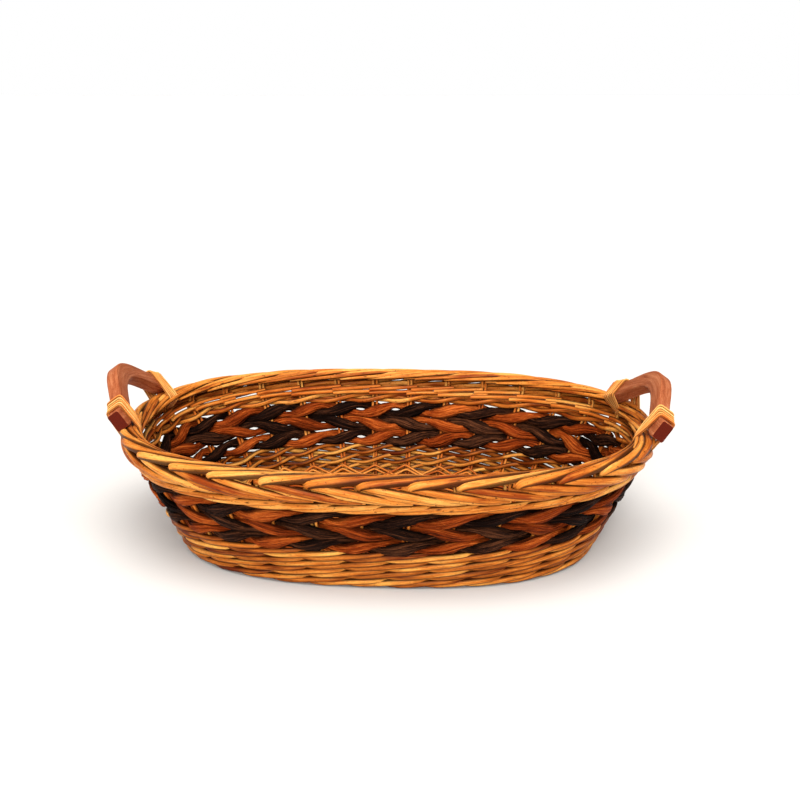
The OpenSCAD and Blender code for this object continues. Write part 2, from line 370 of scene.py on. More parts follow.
# Noises as features per mm along and across the rod, then detail, roughness and distortion
WILLOW_SLOW = (0.028, 0.10, 2.0)
WILLOW_STREAK = (0.05, 1.5, 4.0, 0.6, 0.3)
WILLOW_FINE = (0.35, 5.0, 3.0)
KNOT_CELLS, KNOT_RADII = (0.085, 0.30), (0.06, 0.20)
KNOT_PATCH, KNOT_PATCH_SPAN = (0.016, 0.05, 1.0), (0.44, 0.54)
SPECK, SPECK_SPAN, SPECK_SHARE = (0.5, 0.9, 2.0), (0.63, 0.72), 0.85
# Marks are knots and specks; the second colour is painted shade for the edges where rods meet
MARK_COLOUR, CREVICE_SHADE_COLOUR = srgb(74, 34, 12), srgb(40, 10, 1)
FINE_SPAN, FINE_SHARE = (0.42, 0.70), 0.5
# How ragged the painted shade along the rods' edges is, and where on the edge it is full
RAGGED = 0.14
SHADE_FULL = 0.88
WILLOW_SHARES, WILLOW_STOPS = (0.40, 0.32, 0.28), (0.22, 0.5, 0.76)
WILLOW_ROUGH = (0.56, 0.34)
WILLOW_HEIGHTS, WILLOW_RELIEF, WILLOW_RELIEF_DEPTH = (0.7, 0.3, -0.5), 0.4, 0.0006


def willow(name, pale, middle, deep, crevice_shade, shade_from=0.46, spots=0.5):
    """Peeled, varnished willow: streaks, a slow change of tone, dark knots, and painted shade where rods
    meet.
    """
    s = GrainShader(name)
    slow, streak, fine = (s.noise(*values) for values in (WILLOW_SLOW, WILLOW_STREAK, WILLOW_FINE))
    value = s.weighted(WILLOW_SHARES, s.attribute("tone", "Fac"), s.map(slow, *SPAN),
                       s.map(streak, *NARROW_SPAN))
    colour = s.ramp(value, WILLOW_STOPS, (deep, middle, pale))
    colour = s.mix(s.map(fine, *FINE_SPAN, 0.0, FINE_SHARE), colour, srgb(*deep))
    # Knots: small, sparse, a little stretched along the rod
    knot = s.map(s.cells(*KNOT_CELLS), *KNOT_RADII, 1.0, 0.0)
    knot = s.math("MULTIPLY", knot, s.map(s.noise(*KNOT_PATCH), *KNOT_PATCH_SPAN))
    speck = s.math("MULTIPLY", s.map(s.noise(*SPECK), *SPECK_SPAN), SPECK_SHARE)
    mark = s.math("MULTIPLY", s.math("MAXIMUM", knot, speck), spots, clamp=True)
    colour = s.mix(mark, colour, MARK_COLOUR)
    # Painted shade: darker along the edges where a rod lies against its neighbours, made ragged by the
    # streaks
    ragged_shade = s.math("ADD", s.attribute("edge", "Fac"), s.map(streak, *SPAN, -RAGGED, RAGGED))
    colour = s.mix(s.map(ragged_shade, shade_from, SHADE_FULL, 0.0, crevice_shade), colour, CREVICE_SHADE_COLOUR)
    s.surface({"Base Color": colour, "Roughness": s.map(streak, *SPAN, *WILLOW_ROUGH),
               "Coat Weight": 0.03, "Coat Roughness": 0.2, "Specular IOR Level": 0.06})
    s.bump(s.weighted(WILLOW_HEIGHTS, streak, fine, knot), WILLOW_RELIEF, WILLOW_RELIEF_DEPTH)
    return s.material


LEAF_THREAD = (0.035, 2.6, 4.0, 0.66, 0.4)
LEAF_BROAD = (0.02, 0.7, 3.0, 0.5, 0.2)
LEAF_SLOW = (0.03, 0.12, 2.0)
THREAD_SPAN, BROAD_SPAN = (0.36, 0.64), (0.32, 0.68)
# Painted shade: how far and how strongly a strand darkens towards the edges where it meets its neighbours
LEAF_SHADE_SPAN, LEAF_SHADE_SHARE = (0.62, 0.98), 0.85
LEAF_SHARES, LEAF_STOPS = (0.22, 0.38, 0.26, 0.16), (0.22, 0.52, 0.82)
LEAF_ROUGH = (0.7, 0.42)
LEAF_HEIGHTS, LEAF_RELIEF, LEAF_RELIEF_DEPTH = (0.6, 0.4), 1.0, 0.0016


def leaf(name, pale, middle, deep):
    """Twisted leaf fibre: fine parallel threads with a dull shine."""
    s = GrainShader(name)
    thread, broad, slow = (s.noise(*values) for values in (LEAF_THREAD, LEAF_BROAD, LEAF_SLOW))
    value = s.weighted(LEAF_SHARES, s.attribute("tone", "Fac"), s.map(thread, *THREAD_SPAN),
                       s.map(broad, *BROAD_SPAN), s.map(slow, *SPAN))
    colour = s.ramp(value, LEAF_STOPS, (deep, middle, pale))
    # Painted shade: darker along the strand's edges, where it lies against its neighbours
    colour = s.mix(s.map(s.attribute("edge", "Fac"), *LEAF_SHADE_SPAN, 0.0, LEAF_SHADE_SHARE), colour, srgb(*deep))
    s.surface({"Base Color": colour, "Roughness": s.map(thread, *SPAN, *LEAF_ROUGH),
               "Specular IOR Level": 0.03})
    s.bump(s.weighted(LEAF_HEIGHTS, thread, broad), LEAF_RELIEF, LEAF_RELIEF_DEPTH)
    return s.material


WOOD_FIGURE = (0.05, 0.42, 3.0, 0.5, 0.8)
WOOD_PORE = (0.22, 3.4, 5.0, 0.66)
WOOD_FINE = (0.6, 6.0, 2.0)
WOOD_SHARES, WOOD_STOPS = (0.45, 0.55), (0.1, 0.5, 0.92)
WOOD_COLOURS = (112, 48, 22), (160, 84, 48), (204, 134, 92)
PORE_SPAN, PORE_SHARE, PORE_COLOUR = (0.54, 0.68), 0.6, srgb(84, 32, 16)
FIBRE_SPAN, FIBRE_SHARE, FIBRE_COLOUR = (0.52, 0.72), 0.35, srgb(214, 140, 102)
END_COLOURS = srgb(56, 10, 2), srgb(104, 28, 8)
WOOD_ROUGH = (0.46, 0.62)
WOOD_HEIGHTS, WOOD_RELIEF, WOOD_RELIEF_DEPTH = (0.7, 0.3), 0.4, 0.0005


def handle_wood(name):
    """Red-brown wood: open grain and pale fibres along the bar, dark end grain."""
    s = GrainShader(name)
    figure, pore, fine = (s.noise(*values) for values in (WOOD_FIGURE, WOOD_PORE, WOOD_FINE))
    value = s.weighted(WOOD_SHARES, s.map(figure, *SPAN), s.map(pore, *SPAN))
    colour = s.ramp(value, WOOD_STOPS, WOOD_COLOURS)
    colour = s.mix(s.map(pore, *PORE_SPAN, 0.0, PORE_SHARE), colour, PORE_COLOUR)
    colour = s.mix(s.map(fine, *FIBRE_SPAN, 0.0, FIBRE_SHARE), colour, FIBRE_COLOUR)
    end_grain = s.mix(s.map(fine, *SPAN), *END_COLOURS)
    colour = s.mix(s.attribute("tone", "Fac"), colour, end_grain)
    s.surface({"Base Color": colour, "Roughness": s.map(pore, *SPAN, *WOOD_ROUGH),
               "Specular IOR Level": 0.08})
    s.bump(s.weighted(WOOD_HEIGHTS, pore, fine), WOOD_RELIEF, WOOD_RELIEF_DEPTH)
    return s.material


# The last numbers of each willow set how strong the painted shade along the rods' edges is and where it
# starts
SIDING = willow("siding_willow_mat", (248, 178, 84), (198, 110, 36), (94, 32, 4), crevice_shade=0.96,
                shade_from=0.32)
BORDER = willow("border_willow_mat", (244, 176, 88), (214, 126, 46), (134, 54, 12), crevice_shade=0.9,
                shade_from=0.6, spots=1.0)
INNER = willow("inner_willow_mat", (252, 182, 90), (230, 130, 48), (144, 54, 10), crevice_shade=0.8)
STAKE = willow("stake_willow_mat", (255, 186, 94), (226, 122, 42), (140, 54, 10), crevice_shade=0.55, spots=0.3)
BASE = willow("base_willow_mat", (226, 124, 40), (172, 70, 10), (88, 24, 2), crevice_shade=0.9)
BINDING = willow("binding_willow_mat", (255, 206, 126), (255, 178, 94), (218, 108, 38), crevice_shade=0.7,
                 shade_from=0.66, spots=0.2)
DARK = leaf("dark_strand_mat", (104, 60, 36), (28, 12, 7), (5, 2, 1))
RED = leaf("red_strand_mat", (216, 112, 44), (140, 54, 14), (30, 6, 1))
HANDLE = handle_wood("handle_wood_mat")


# ---------------------------------------------------------------------------
# Stakes: pairs of rods that lean and bow a little, and bend inwards under the border
# ---------------------------------------------------------------------------
STAKE_D = 2.3
STAKE_PITCH = 2.7
STAKE_FOOT, STAKE_HEAD, STAKE_POINTS = 1.0, 88.0, 30
LEAN = 0.8
DRIFT, DRIFT_PERIOD = 0.35, 26.0
BOW, BOW_PERIOD = 0.25, 30.0
BEND, BEND_FROM, BEND_POWER = 0.06, 75, 1.7
STAKE_TONES = (0.1, 0.8)
# Painted light: the stakes get paler from this height up, where they stand inside the border
TOP_PAINTED_LIGHT, TOP_PAINTED_LIGHT_FROM, TOP_PAINTED_LIGHT_SPAN = 0.45, 71, 5
STAKE_SEED, STAKE_ROD_SEED = 11, 100
DRIFT_SEED_STEP = 40
BOW_SEED, BOW_SEED_STEP = 900, 7


def stake_t(i):
    return i + STAKE_PHASE


def make_stakes():
    rng = np.random.RandomState(STAKE_SEED)
    z = np.linspace(STAKE_FOOT, STAKE_HEAD, STAKE_POINTS)
    bend = BEND * np.maximum(z - BEND_FROM, 0) ** BEND_POWER
    painted_light = TOP_PAINTED_LIGHT * smoothstep((z - TOP_PAINTED_LIGHT_FROM) / TOP_PAINTED_LIGHT_SPAN)
    for i in range(STAKES):
        nodes = [f"stake_pair_{i + 1:02d}"]
        rods = Rods(f"stake_rods_{i + 1:02d}", "stake_willow", nodes, STAKE, STAKE_ROD_SEED + i)
        spacing = spacing_at(stake_t(i), STAKE_TOP / 2)
        lean = rng.uniform(-LEAN, LEAN) * (z / STAKE_TOP - 0.5)
        for side in (-1, 1):
            wander = DRIFT * smooth_noise(z, DRIFT_SEED_STEP * i + side, DRIFT_PERIOD)
            t = stake_t(i) + (side * STAKE_PITCH / 2 + lean + wander) / spacing
            bow = BOW * smooth_noise(z, BOW_SEED + BOW_SEED_STEP * i + side, BOW_PERIOD)
            path = wall(t, z, bow + rim_off(z, 0) - bend)
            # The paler top is painted light added to the rod's own tone
            tone = rng.uniform(*STAKE_TONES) + painted_light
            rods.add(path, normal_at(stake_t(i), z), STAKE_D, STAKE_D, sides=9, tone=tone)
        rods.build()


# ---------------------------------------------------------------------------
# Rows of three-rod wale: each rod passes outside two stakes and inside one
# ---------------------------------------------------------------------------
WALE_OUTSIDE, WALE_LAPS = 2, 3
WALE_STEPS = 9
WALE_PASSING = 0.46
WALE_GAP = 0.15
WALE_THIN, WALE_FULL = 1.1, 1.34
WALE_OVERLAP = 0.6
WALE_CLOSING = 2
WANDER_Z, WANDER_Z_PERIOD = 0.22, 2.3
WANDER_OFF, WANDER_OFF_PERIOD = 0.18, 1.7
ROD_STAKES = 6
ROD_TONES = 64
SIDING_Z, SIDING_PITCH = 0.6, 3.65
SIDING_RISES = (2.1, 2.7, 2.8, 2.8)
SIDING_ROD = (3.4, 3.2)
SIDING_SEED, SIDING_SEED_STEP = 300, 17
COLLAR_Z, COLLAR_RISE = 66.9, 1.95
COLLAR_ROD = (3.7, 3.5)
COLLAR_SEED = 391


def wale(name, node, material, centre, rod, rise, seed, shift):
    """One row as a single closed path of WALE_LAPS laps. rod is (height, thickness)."""
    rods = Rods(name, "siding_willow", [node], material, seed)
    rod_h, rod_t = rod
    length = WALE_LAPS * STAKES
    s = np.arange(0, length, 1 / WALE_STEPS)
    place = np.mod(s, WALE_LAPS)

    def passed(at):
        return smoothstep((place - at + WALE_PASSING) / (2 * WALE_PASSING))

    outness = passed(0) - passed(WALE_OUTSIDE) + passed(WALE_LAPS)
    outside = place < WALE_OUTSIDE
    up = np.where(outside, -np.cos(math.pi * place / WALE_OUTSIDE), np.cos(math.pi * (place - WALE_OUTSIDE)))
    # The end of each stroke lies over the start of the next one, and the stroke is fullest in its middle
    reach = STAKE_D / 2 + rod_t / 2 + WALE_GAP
    off = reach * (2 * outness - 1) + WALE_OVERLAP * up
    fullness = np.where(outside, np.sin(math.pi * place / WALE_OUTSIDE) ** 2, 0)
    height = rod_h * (WALE_THIN + (WALE_FULL - WALE_THIN) * fullness)
    # The wandering fades out towards the end of the path, where it meets its start
    fade = np.minimum(1, (length - s) / WALE_CLOSING)
    z = centre + rise * up + WANDER_Z * smooth_noise(s, seed + 5, WANDER_Z_PERIOD) * fade
    off = off + WANDER_OFF * smooth_noise(s, seed + 6, WANDER_OFF_PERIOD) * fade
    # A rod lasts a few stakes before the next one is laid in, always at the inside of the wall
    stretch = ((s + 0.5) // ROD_STAKES).astype(int)
    tone = seeded(seed).uniform(0.0, 1.0, ROD_TONES)[stretch % ROD_TONES]
    t = s + STAKE_PHASE - 0.5 + shift
    rods.add(wall(t, z, off), normal_at(t, z), rod_t, height, sides=12, closed=True, tone=tone, wobble=0.07)
    rods.build()


def make_siding():
    for r, rise in enumerate(SIDING_RISES):
        centre = SIDING_Z + (2 * r + 1) * SIDING_PITCH
        seed = SIDING_SEED + SIDING_SEED_STEP * r
        wale(f"siding_wale_{r + 1}", f"siding_row_{r + 1}", SIDING, centre, SIDING_ROD, rise, seed, r)
    wale("collar_wale", "collar_row", BORDER, COLLAR_Z, COLLAR_ROD, COLLAR_RISE, COLLAR_SEED, 0)


# ---------------------------------------------------------------------------
# Two-colour band: pairs of fibre strands that swap at every stake
# ---------------------------------------------------------------------------
BAND_ROWS = 3
BAND_Z, BAND_PITCH = 30.1, 11.1
BAND_STEPS = 13
BAND_SHIFT = 0.05
BAND_REACH, BAND_RISE = 3.4, 3.0
BAND_NARROW, BAND_SPREAD, BAND_SPREAD_POWER = 5.6, 4.2, 0.8
BAND_THICK, BAND_FLATTENING = 4.3, 0.5
BAND_FACING = np.array([0, 0, -0.4])
BAND_WANDER_OFF, BAND_WANDER_Z, BAND_UNEVEN = 0.5, 0.9, 0.18
OFF_PERIOD, Z_PERIOD, UNEVEN_PERIOD, TONE_PERIOD = 1.1, 0.9, 1.3, 2.0
BAND_FADE_POWER = 0.3
BAND_SEED, BAND_SEED_STEP = 500, 31
BAND_SIDES = 48
RIDGES = range(7, 21)
RIDGE_TWISTS, RIDGE_SIZES = (-0.035, 0.035), (0.4, 1.0)
RIDGE_DEPTH = 0.2 / 3.2
RIDGE_MEAN, RIDGE_SWING, RIDGE_PERIOD = 0.7, 0.5, 22.0


def fibre_lumps(seed):
    """Ridges that run along a strand, twist slowly and come and go, as a factor on its radius."""
    rng = seeded(seed)
    waves = [(k, rng.uniform(0, 2 * math.pi), rng.uniform(*RIDGE_TWISTS), rng.uniform(*RIDGE_SIZES))
             for k in RIDGES]

    def lumps(along, angle):
        total = np.zeros((len(along), len(angle)))
        for k, phase, twist, size in waves:
            swelling = RIDGE_MEAN + RIDGE_SWING * smooth_noise(along, seed + k, RIDGE_PERIOD)
            total += size * swelling[:, None] * np.cos(k * angle[None] + phase + k * twist * along[:, None])
        return 1 + RIDGE_DEPTH * total

    return lumps


def make_band():
    u = np.arange(0, STAKES, 1 / BAND_STEPS)
    t = u + STAKE_PHASE - BAND_SHIFT
    fade = np.sin(math.pi * u / STAKES) ** BAND_FADE_POWER
    for r in range(BAND_ROWS):
        centre = BAND_Z + (r + 0.5) * BAND_PITCH
        # The middle row is twined the other way, which makes the chevrons
        way = -1 if r == 1 else 1
        for start, (word, material) in enumerate((("dark", DARK), ("red", RED))):
            seed = BAND_SEED + BAND_SEED_STEP * r + start
            rods = Rods(f"twine_{word}_{r + 1}", f"{word}_strand", [f"band_{word}_{r + 1}"], material, seed)
            phase = math.pi * (u - start)
            off = BAND_REACH * np.cos(phase) + BAND_WANDER_OFF * smooth_noise(u, seed + 1, OFF_PERIOD) * fade
            z = centre + way * BAND_RISE * np.sin(phase)
            z = z + BAND_WANDER_Z * smooth_noise(u, seed + 8, Z_PERIOD) * fade
            # A strand spreads and flattens where it lies over a stake
            spread = np.cos(phase) ** 2
            height = BAND_NARROW + BAND_SPREAD * spread ** BAND_SPREAD_POWER
            height = height * (1 + BAND_UNEVEN * smooth_noise(u, seed + 9, UNEVEN_PERIOD) * fade)
            tone = 0.5 + 0.5 * smooth_noise(u, seed + 3, TONE_PERIOD)
            thick = BAND_THICK - BAND_FLATTENING * spread
            rods.add(wall(t, z, off), normal_at(t, z) + BAND_FACING, thick, height, sides=BAND_SIDES,
                     closed=True, tone=tone, lumps=fibre_lumps(seed), wobble=0.05)
            rods.build()


# ---------------------------------------------------------------------------
# Border
# ---------------------------------------------------------------------------
# Crest rods climb the outside of the rim and come down inside: (t, z, mm outside the mouth oval)
CREST_PATH = [(-0.05, 83.0, 1.6), (-0.04, 84.5, 4.1), (0.07, 85.7, 5.2), (0.5, 87.0, 4.9), (1.0, 88.1, 3.4),
              (1.5, 88.6, 1.0), (2.0, 88.4, -1.4), (2.6, 87.2, -3.2), (3.2, 85.8, -4.2), (3.7, 84.6, -4.4),
              (4.0, 83.8, -3.6)]
CREST_END = CREST_PATH[-1][0]
CREST_SIZES, CREST_TONES = (5.4, 6.2), (0.15, 0.9)
CREST_DROPS, CREST_REACHES = (-0.5, 0.1), (0.92, 1.08)
CREST_FLAT = 0.92
CREST_TURN = [0.3, 1.6, 2.8], [5.0, 85.0, 150.0]
KNOB_SHIFT, KNOB_JITTER = 0.12, 0.09
# A thinner second rod follows the crest rod's path from this point on, behind it, above it and further in
SECOND_FROM = 5
SECOND_BACK, SECOND_UP, SECOND_IN = 0.3, 0.3, 2.2
SECOND_SIZE, SECOND_TONES = 0.62, (0.0, 0.7)
# Fan rods slant down under the crest rod that starts at the same stake
FAN_PATH = [(-0.12, 84.2, 2.4), (0.2, 82.8, 5.0), (0.75, 79.6, 5.6), (1.25, 76.4, 5.2), (1.65, 74.1, 4.6),
            (2.0, 72.9, 2.6)]
FAN_DROPS = (0.0, 4.8)
FAN_SIZES, FAN_TONES = (5.4, 4.4), (0.0, 0.9)
FAN_SCALES, FAN_JITTER = (0.92, 1.08), 0.08
FAN_FLAT = 0.9
FAN_CLOSING = 0.85
FAN_LOWEST, FAN_LAYER, FAN_IN = 72.0, 0.3, 0.5
# Lining rods are short and shingled along the inside, in two rows with cut ends:
# (t, and share of the length that is added to it; z, drop to the lower row, share of the sag; off)
LINING_PATH = [(0.0, 0.0, 76.9, 3.6, 0, -2.4), (0.3, 0.0, 76.3, 3.6, 0, -3.2),
               (0.0, 0.7, 75.4, 3.4, 1, -3.8), (0.0, 1.0, 74.7, 3.3, 1, -4.6)]
LINING_ROWS = 2
LINING_SIZES, LINING_TONES = (3.1, 3.8), (0.1, 1.0)
LINING_FLAT = 0.9
LINING_LENGTHS, LINING_STARTS, LINING_SAGS = (1.15, 1.35), (-0.2, 0.06), (-0.5, 0.5)
BORDER_STEPS, LINING_STEPS = 7, 6
BORDER_SEED, CREST_SEED, FAN_SEED, LINING_SEED = 7, 71, 72, 73


def free_side(t, place):
    """The way a crest rod faces: outwards at its knob, up on the rim, inwards at its tail."""
    turn = np.radians(np.interp(t, *CREST_TURN))
    normal = normal_at(place, np.full_like(turn, STAKE_TOP))
    return normal * np.cos(turn)[:, None] + UP * np.sin(turn)[:, None]


def crest_taper(x):
    """Size along a crest rod: fat at the cut end, thin at the tail."""
    return (1.04 - 0.54 * smoothstep((x - 0.3) / 0.7)) * (1.1 - 0.1 * smoothstep(x / 0.1))


def second_taper(x):
    return (1 - 0.3 * smoothstep((x - 0.4) / 0.6)) * (0.5 + 0.5 * smoothstep(x / 0.2))


def fan_taper(x):
    return 1 - 0.25 * smoothstep((x - 0.6) / 0.4)


def fan_z(t, z, k):
    """A lower fan rod starts FAN_DROPS below the upper one and draws close to it on the way down."""
    return max(z - FAN_DROPS[k] * (1 - FAN_CLOSING * min(1, max(0, t) / 2)), FAN_LOWEST + FAN_LAYER * k)


def make_border():
    rng = np.random.RandomState(BORDER_SEED)
    crest = Rods("border_crest_rods", "border_willow", ["border_crest"], BORDER, CREST_SEED)
    fan = Rods("border_fan_rods", "border_willow", ["border_outer_rods"], BORDER, FAN_SEED)
    lining = Rods("border_lining_rods", "inner_willow", ["border_inner_rods"], INNER, LINING_SEED)
    for i in range(STAKES):
        d = rng.uniform(*CREST_SIZES)
        dz = rng.uniform(*CREST_DROPS)
        start = stake_t(i) + (KNOB_SHIFT + rng.uniform(-KNOB_JITTER, KNOB_JITTER))
        reach = rng.uniform(*CREST_REACHES)
        points = [(t * reach, z + dz * min(1, t), rim_off(z, x)) for t, z, x in CREST_PATH]
        path, _ = wall_path(points, BORDER_STEPS, start)
        x = np.linspace(0, 1, len(path))
        out = free_side(x * CREST_END, start + x * CREST_END)
        size = d * crest_taper(x)
        crest.add(path, out, size * CREST_FLAT, size, sides=14, tone=rng.uniform(*CREST_TONES))

        points = [(t * reach, z + dz + SECOND_UP, rim_off(z, x - SECOND_IN))
                  for t, z, x in CREST_PATH[SECOND_FROM:]]
        path, _ = wall_path(points, BORDER_STEPS, start - SECOND_BACK)
        at = np.linspace(CREST_PATH[SECOND_FROM][0], CREST_END, len(path))
        size = SECOND_SIZE * d * second_taper(np.linspace(0, 1, len(path)))
        crest.add(path, free_side(at, start + at), size, size, sides=12, tone=rng.uniform(*SECOND_TONES))

        for k, fan_size in enumerate(FAN_SIZES):
            d = fan_size * rng.uniform(*FAN_SCALES)
            start = stake_t(i) + (KNOB_SHIFT + rng.uniform(-FAN_JITTER, FAN_JITTER))
            points = [(t, fan_z(t, z, k), rim_off(z, x - FAN_IN * k)) for t, z, x in FAN_PATH]
            path, out = wall_path(points, BORDER_STEPS, start)
            size = d * fan_taper(np.linspace(0, 1, len(path)))
            fan.add(path, out, size * FAN_FLAT, size, sides=12, tone=rng.uniform(*FAN_TONES))

        for k in range(LINING_ROWS):
            d = rng.uniform(*LINING_SIZES)
            length = rng.uniform(*LINING_LENGTHS)
            start = rng.uniform(*LINING_STARTS)
            sag = rng.uniform(*LINING_SAGS)
            points = [(start + t + length * longer, z - drop * k + sag * sagging, off)
                      for t, longer, z, drop, sagging, off in LINING_PATH]
            path, out = wall_path(points, LINING_STEPS, stake_t(i))
            lining.add(path, out, d * LINING_FLAT, d, sides=11, tone=rng.uniform(*LINING_TONES))
    for rods in (crest, fan, lining):
        rods.build()


# ---------------------------------------------------------------------------
# Arches of double rods at the foot of the inside wall
# ---------------------------------------------------------------------------
ARCH_SIZES, ARCH_TONES = (1.9, 2.3), (0.2, 1.0)
ARCH_TOP, ARCH_SHOULDER, ARCH_FOOT = 15.4, 11.0, 8.4
ARCH_HALF_WIDTH = 0.66
ARCH_TOP_OFF, ARCH_SHOULDER_OFF, ARCH_FOOT_OFF = -6.9, -7.6, -8.6
SMALLER_TOP, SMALLER_SHOULDER, SMALLER_WIDTH = 3.0, 1.4, 0.16
ARCH_SHOULDER_WIDTH = 0.6
ARCH_CROWN, ARCH_CROWN_DROP = 0.06, 0.3
ARCH_TOP_JITTER, ARCH_JITTER = 0.3, 0.05
ARCH_STEPS = 5
ARCH_SEED, ARCH_ROD_SEED = 8, 81


def make_foot_arches():
    rods = Rods("foot_arch_rods", "inner_willow", ["foot_trac"], INNER, ARCH_ROD_SEED)
    rng = np.random.RandomState(ARCH_SEED)
    for i in range(STAKES):
        for k in range(2):
            d = rng.uniform(*ARCH_SIZES)
            top = ARCH_TOP - SMALLER_TOP * k + rng.uniform(-ARCH_TOP_JITTER, ARCH_TOP_JITTER)
            width = ARCH_HALF_WIDTH - SMALLER_WIDTH * k
            leg = [(width, ARCH_FOOT, ARCH_FOOT_OFF),
                   (width * ARCH_SHOULDER_WIDTH, ARCH_SHOULDER - SMALLER_SHOULDER * k, ARCH_SHOULDER_OFF),
                   (ARCH_CROWN, top - ARCH_CROWN_DROP, ARCH_TOP_OFF)]
            points = [(-t, z, off) for t, z, off in leg] + [(0, top, ARCH_TOP_OFF)] + leg[::-1]
            place = stake_t(i) + rng.uniform(-ARCH_JITTER, ARCH_JITTER)
            path, out = wall_path(points, ARCH_STEPS, place)
            rods.add(path, out, d, d, sides=8, tone=rng.uniform(*ARCH_TONES))
    rods.build()


# ---------------------------------------------------------------------------
# Base: sticks across and along, which fan out at the ends, and rings woven through them
# ---------------------------------------------------------------------------
LONG_STICKS, CROSS_STICKS = 8, 8
LONG_PITCH = 3.2
FAN_X = 84.0
STICK_D = 2.8
STICK_INSET = -8.0
STICK_OFFSET, STICK_STEP = 1.5, 14
CROSS_LOW, LONG_HIGH = 14, 66
CROSS_POINTS, LONG_POINTS = 40, 60
BASE_MID = 4.4
BASE_RINGS, BASE_POINTS = 27, 540
BASE_FIRST, BASE_PITCH = 5.2, 3.1
BASE_SQUARING = 0.3
BASE_WAVE = 2.45
BASE_ROD = (2.7, 3.0)
CROSS_SEED, LONG_SEED, WEAVE_SEED = 91, 92, 93


def stick_lines():
    """End points of the cross sticks, and for each long stick its y in the middle and its end point."""
    cross = [wall(STAKES / 4 - CROSS_STICKS / 2 + i + 0.5, 0, STICK_INSET) for i in range(CROSS_STICKS)]
    long = [((i - (LONG_STICKS - 1) / 2) * LONG_PITCH,
             wall(STAKES - LONG_STICKS / 2 + i + 0.5, 0, STICK_INSET)) for i in range(LONG_STICKS)]
    return cross, long


def long_stick_y(x, y, end):
    slope = np.clip((np.abs(x) - FAN_X) / (end[0] - FAN_X), 0, None)
    return y + (end[1] - y) * slope


def middle_part(v, half):
    """1 in the middle of a stick, fading to 0 beyond half."""
    return 1 - smoothstep((np.abs(v) - half) / STICK_STEP)


def sign_changes(values):
    """Indices in a closed row of values after which the sign changes."""
    return np.nonzero(np.sign(values) != np.sign(np.roll(values, -1)))[0]


def make_base():
    cross, long = stick_lines()
    # In the middle the cross sticks lie under the long ones
    cross_rods = Rods("base_cross_rods", "stake_willow", ["base_sticks_cross"], STAKE, CROSS_SEED)
    for end in cross:
        y = np.linspace(-end[1], end[1], CROSS_POINTS)
        z = BASE_MID - STICK_OFFSET * middle_part(y, CROSS_LOW)
        cross_rods.add(np.stack([np.full_like(y, end[0]), y, z], -1), UP, STICK_D, STICK_D, sides=9)
    cross_rods.build()
    long_rods = Rods("base_long_rods", "stake_willow", ["base_sticks_long"], STAKE, LONG_SEED)
    for y0, end in long:
        x = np.linspace(-end[0], end[0], LONG_POINTS)
        z = BASE_MID + STICK_OFFSET * middle_part(x, LONG_HIGH)
        long_rods.add(np.stack([x, long_stick_y(x, y0, end), z], -1), UP, STICK_D, STICK_D, sides=9)
    long_rods.build()

    weave = Rods("base_weave_rods", "base_willow", ["base_weave"], BASE, WEAVE_SEED)
    q = np.linspace(0, 2 * math.pi, BASE_POINTS, endpoint=False)
    for k in range(BASE_RINGS):
        d = BASE_FIRST + k * BASE_PITCH
        power = FLOOR_POWER - BASE_SQUARING * k / BASE_RINGS
        ring = superellipse(FLOOR_LENGTH / 2 - d, FLOOR_WIDTH / 2 - d, power, q)
        beside = [ring[:, 0] - end[0] for end in cross]
        beside += [ring[:, 1] - long_stick_y(ring[:, 0], y0, end) for y0, end in long]
        crossings = np.sort(np.concatenate([q[sign_changes(m)] for m in beside]))
        count = len(crossings)
        turns = np.concatenate([crossings - 2 * math.pi, crossings, crossings + 2 * math.pi])
        phase = np.interp(q, turns, np.arange(-count, 2 * count))
        z = BASE_MID + BASE_WAVE * np.cos(math.pi * (phase + k))
        weave.add(np.concatenate([ring, z[:, None]], -1), UP, *BASE_ROD, sides=8, closed=True, wobble=0.03)
    weave.build()


# ---------------------------------------------------------------------------
# Handles
# ---------------------------------------------------------------------------
SIDES = {-1: "left", 1: "right"}
FOOT_X = {-1: 186.8, 1: 182.0}
TURN = {-1: math.radians(1), 1: math.radians(12)}
FOOT_Z = 95.7
HANDLE_Y = 5.0
HANDLE_LENGTH, HANDLE_RISE = 104.0, 25.0
HANDLE_DEPTH, HANDLE_THICK = 14.0, 10.4
HANDLE_LEAN = math.radians(36)
ARCH_HALF, HOLE_HALF = 0.48 * HANDLE_LENGTH, 0.46 * HANDLE_LENGTH
HOLE_RISE = HANDLE_RISE - 0.5
HANDLE_SECTIONS = 90
CORNER, CORNER_POINTS = 1.3, 4
END_TRIM, END_TRIM_LENGTH = 0.5, 0.9
HANDLE_GRAIN_SHIFT, GRAIN_FOLLOW = 300, 0.2
HANDLE_SHARP = 40


def swell(u, half, power):
    return np.where(np.abs(u) >= half, 0, ((1 + np.cos(math.pi * u / half)) / 2) ** power)


def outer_edge(u):
    return HANDLE_DEPTH / 2 + HANDLE_RISE * swell(u, ARCH_HALF, 1.0)


def inner_edge(u):
    return -HANDLE_DEPTH / 2 + HOLE_RISE * swell(u, HOLE_HALF, 0.8)


def leaned(r, w):
    """Out and up, for r away from the border and w outwards through the bar."""
    return (r * math.sin(HANDLE_LEAN) + w * math.cos(HANDLE_LEAN),
            r * math.cos(HANDLE_LEAN) - w * math.sin(HANDLE_LEAN))


def handle_point(side, u, r, w):
    """The point at u along the bar towards the rear, and r and w across it."""
    out, up = leaned(r, w)
    x = FOOT_X[side] + out * math.cos(TURN[side]) - u * math.sin(TURN[side])
    y = HANDLE_Y + u * math.cos(TURN[side]) + out * math.sin(TURN[side])
    return np.stack(np.broadcast_arrays(side * x, y, FOOT_Z + up), -1)


